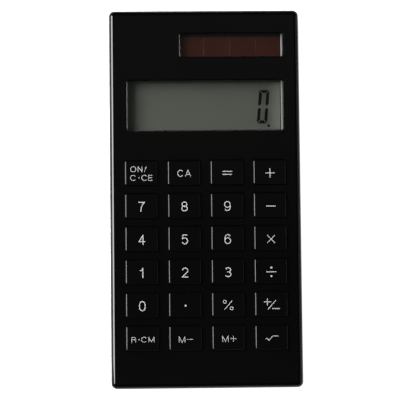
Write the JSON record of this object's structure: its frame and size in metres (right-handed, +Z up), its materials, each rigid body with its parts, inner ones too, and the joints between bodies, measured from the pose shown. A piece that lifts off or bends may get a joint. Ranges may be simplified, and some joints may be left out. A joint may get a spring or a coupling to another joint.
{
  "type": "pocket calculator",
  "caption": "Slim solar pocket calculator: flat two-shell case with sprung push keys, a numeric display and a solar panel behind clear windows, and a sliding cell door.",
  "frame": {"origin": "under the middle of the body, on the plane of the four feet's undersides", "axes": "+X to the right of someone reading the keys, +Y towards the display end, +Z up out of the keypad"},
  "size_m": [0.062, 0.123, 0.0102],
  "materials": {
    "case_plastic": "glossy moulded black",
    "key_plastic": "glossy moulded black with printed legends",
    "clear_acrylic": "polished clear acrylic",
    "mat_rubber": "matt silicone rubber",
    "display_film": "grey-green reflective film",
    "display_glass": "polished glass",
    "frame_plastic": "satin light grey",
    "ribbon_film": "translucent amber film with carbon tracks",
    "solar_cells": "dark red-brown glass-backed cells",
    "foam_tape": "matt foam",
    "red_wire": "insulated wire",
    "black_wire": "insulated wire",
    "board_laminate": "green solder mask on glass laminate",
    "component_black": "black epoxy",
    "component_tan": "fired ceramic",
    "cell_steel": "nickel-plated steel",
    "contact_metal": "sprung phosphor bronze",
    "screw_steel": "plated steel",
    "foot_rubber": "matt black rubber"
  },
  "bodies": {
    "casing": {"front_housing": "case_plastic", "rear_housing": "case_plastic", "display_lens": "clear_acrylic", "solar_lens": "clear_acrylic", "dome_mat": "mat_rubber", "display_reflector": "display_film", "display_rear_glass": "display_glass", "display_front_glass": "display_glass", "display_polariser": "display_film", "display_frame": "frame_plastic", "display_ribbon": "ribbon_film", "solar_panel": "solar_cells", "solar_tape": "foam_tape", "solar_lead_positive": "red_wire", "solar_lead_negative": "black_wire", "circuit_board": "board_laminate", "chip_cover": "component_black", "capacitor": "component_tan", "resistor": "component_black", "button_cell": "cell_steel", "negative_contact": "contact_metal", "positive_contact": "contact_metal", "case_screw_top_left": "screw_steel", "case_screw_top_right": "screw_steel", "case_screw_bottom_left": "screw_steel", "case_screw_bottom_right": "screw_steel", "board_screw_1": "screw_steel", "board_screw_2": "screw_steel", "board_screw_3": "screw_steel", "board_screw_4": "screw_steel", "foot_top_left": "foot_rubber", "foot_top_right": "foot_rubber", "foot_bottom_left": "foot_rubber", "foot_bottom_right": "foot_rubber"},
    "battery_door": {"battery_door": "case_plastic"},
    "key_on_clear": {"key_on_clear": "key_plastic"},
    "key_clear_all": {"key_clear_all": "key_plastic"},
    "key_equals": {"key_equals": "key_plastic"},
    "key_plus": {"key_plus": "key_plastic"},
    "key_7": {"key_7": "key_plastic"},
    "key_8": {"key_8": "key_plastic"},
    "key_9": {"key_9": "key_plastic"},
    "key_minus": {"key_minus": "key_plastic"},
    "key_4": {"key_4": "key_plastic"},
    "key_5": {"key_5": "key_plastic"},
    "key_6": {"key_6": "key_plastic"},
    "key_times": {"key_times": "key_plastic"},
    "key_1": {"key_1": "key_plastic"},
    "key_2": {"key_2": "key_plastic"},
    "key_3": {"key_3": "key_plastic"},
    "key_divide": {"key_divide": "key_plastic"},
    "key_0": {"key_0": "key_plastic"},
    "key_point": {"key_point": "key_plastic"},
    "key_percent": {"key_percent": "key_plastic"},
    "key_sign": {"key_sign": "key_plastic"},
    "key_memory_recall": {"key_memory_recall": "key_plastic"},
    "key_memory_minus": {"key_memory_minus": "key_plastic"},
    "key_memory_plus": {"key_memory_plus": "key_plastic"},
    "key_root": {"key_root": "key_plastic"}
  },
  "joints": [
    {"name": "press_on_clear", "type": "slide", "parent": "casing", "child": "key_on_clear", "axis": [0, 0, -1], "range_m": [0, 0.0008], "stiffness_N_per_m": 120, "springref_m": -0.004, "deforming": ["dome_mat"]},
    {"name": "press_clear_all", "type": "slide", "parent": "casing", "child": "key_clear_all", "axis": [0, 0, -1], "range_m": [0, 0.0008], "stiffness_N_per_m": 120, "springref_m": -0.004, "deforming": ["dome_mat"]},
    {"name": "press_equals", "type": "slide", "parent": "casing", "child": "key_equals", "axis": [0, 0, -1], "range_m": [0, 0.0008], "stiffness_N_per_m": 120, "springref_m": -0.004, "deforming": ["dome_mat"]},
    {"name": "press_plus", "type": "slide", "parent": "casing", "child": "key_plus", "axis": [0, 0, -1], "range_m": [0, 0.0008], "stiffness_N_per_m": 120, "springref_m": -0.004, "deforming": ["dome_mat"]},
    {"name": "press_7", "type": "slide", "parent": "casing", "child": "key_7", "axis": [0, 0, -1], "range_m": [0, 0.0008], "stiffness_N_per_m": 120, "springref_m": -0.004, "deforming": ["dome_mat"]},
    {"name": "press_8", "type": "slide", "parent": "casing", "child": "key_8", "axis": [0, 0, -1], "range_m": [0, 0.0008], "stiffness_N_per_m": 120, "springref_m": -0.004, "deforming": ["dome_mat"]},
    {"name": "press_9", "type": "slide", "parent": "casing", "child": "key_9", "axis": [0, 0, -1], "range_m": [0, 0.0008], "stiffness_N_per_m": 120, "springref_m": -0.004, "deforming": ["dome_mat"]},
    {"name": "press_minus", "type": "slide", "parent": "casing", "child": "key_minus", "axis": [0, 0, -1], "range_m": [0, 0.0008], "stiffness_N_per_m": 120, "springref_m": -0.004, "deforming": ["dome_mat"]},
    {"name": "press_4", "type": "slide", "parent": "casing", "child": "key_4", "axis": [0, 0, -1], "range_m": [0, 0.0008], "stiffness_N_per_m": 120, "springref_m": -0.004, "deforming": ["dome_mat"]},
    {"name": "press_5", "type": "slide", "parent": "casing", "child": "key_5", "axis": [0, 0, -1], "range_m": [0, 0.0008], "stiffness_N_per_m": 120, "springref_m": -0.004, "deforming": ["dome_mat"]},
    {"name": "press_6", "type": "slide", "parent": "casing", "child": "key_6", "axis": [0, 0, -1], "range_m": [0, 0.0008], "stiffness_N_per_m": 120, "springref_m": -0.004, "deforming": ["dome_mat"]},
    {"name": "press_times", "type": "slide", "parent": "casing", "child": "key_times", "axis": [0, 0, -1], "range_m": [0, 0.0008], "stiffness_N_per_m": 120, "springref_m": -0.004, "deforming": ["dome_mat"]},
    {"name": "press_1", "type": "slide", "parent": "casing", "child": "key_1", "axis": [0, 0, -1], "range_m": [0, 0.0008], "stiffness_N_per_m": 120, "springref_m": -0.004, "deforming": ["dome_mat"]},
    {"name": "press_2", "type": "slide", "parent": "casing", "child": "key_2", "axis": [0, 0, -1], "range_m": [0, 0.0008], "stiffness_N_per_m": 120, "springref_m": -0.004, "deforming": ["dome_mat"]},
    {"name": "press_3", "type": "slide", "parent": "casing", "child": "key_3", "axis": [0, 0, -1], "range_m": [0, 0.0008], "stiffness_N_per_m": 120, "springref_m": -0.004, "deforming": ["dome_mat"]},
    {"name": "press_divide", "type": "slide", "parent": "casing", "child": "key_divide", "axis": [0, 0, -1], "range_m": [0, 0.0008], "stiffness_N_per_m": 120, "springref_m": -0.004, "deforming": ["dome_mat"]},
    {"name": "press_0", "type": "slide", "parent": "casing", "child": "key_0", "axis": [0, 0, -1], "range_m": [0, 0.0008], "stiffness_N_per_m": 120, "springref_m": -0.004, "deforming": ["dome_mat"]},
    {"name": "press_point", "type": "slide", "parent": "casing", "child": "key_point", "axis": [0, 0, -1], "range_m": [0, 0.0008], "stiffness_N_per_m": 120, "springref_m": -0.004, "deforming": ["dome_mat"]},
    {"name": "press_percent", "type": "slide", "parent": "casing", "child": "key_percent", "axis": [0, 0, -1], "range_m": [0, 0.0008], "stiffness_N_per_m": 120, "springref_m": -0.004, "deforming": ["dome_mat"]},
    {"name": "press_sign", "type": "slide", "parent": "casing", "child": "key_sign", "axis": [0, 0, -1], "range_m": [0, 0.0008], "stiffness_N_per_m": 120, "springref_m": -0.004, "deforming": ["dome_mat"]},
    {"name": "press_memory_recall", "type": "slide", "parent": "casing", "child": "key_memory_recall", "axis": [0, 0, -1], "range_m": [0, 0.0008], "stiffness_N_per_m": 120, "springref_m": -0.004, "deforming": ["dome_mat"]},
    {"name": "press_memory_minus", "type": "slide", "parent": "casing", "child": "key_memory_minus", "axis": [0, 0, -1], "range_m": [0, 0.0008], "stiffness_N_per_m": 120, "springref_m": -0.004, "deforming": ["dome_mat"]},
    {"name": "press_memory_plus", "type": "slide", "parent": "casing", "child": "key_memory_plus", "axis": [0, 0, -1], "range_m": [0, 0.0008], "stiffness_N_per_m": 120, "springref_m": -0.004, "deforming": ["dome_mat"]},
    {"name": "press_root", "type": "slide", "parent": "casing", "child": "key_root", "axis": [0, 0, -1], "range_m": [0, 0.0008], "stiffness_N_per_m": 120, "springref_m": -0.004, "deforming": ["dome_mat"]},
    {"name": "battery_door_slide", "type": "slide", "parent": "casing", "child": "battery_door", "axis": [0, 1, 0], "range_m": [0, 0.022]}
  ]
}
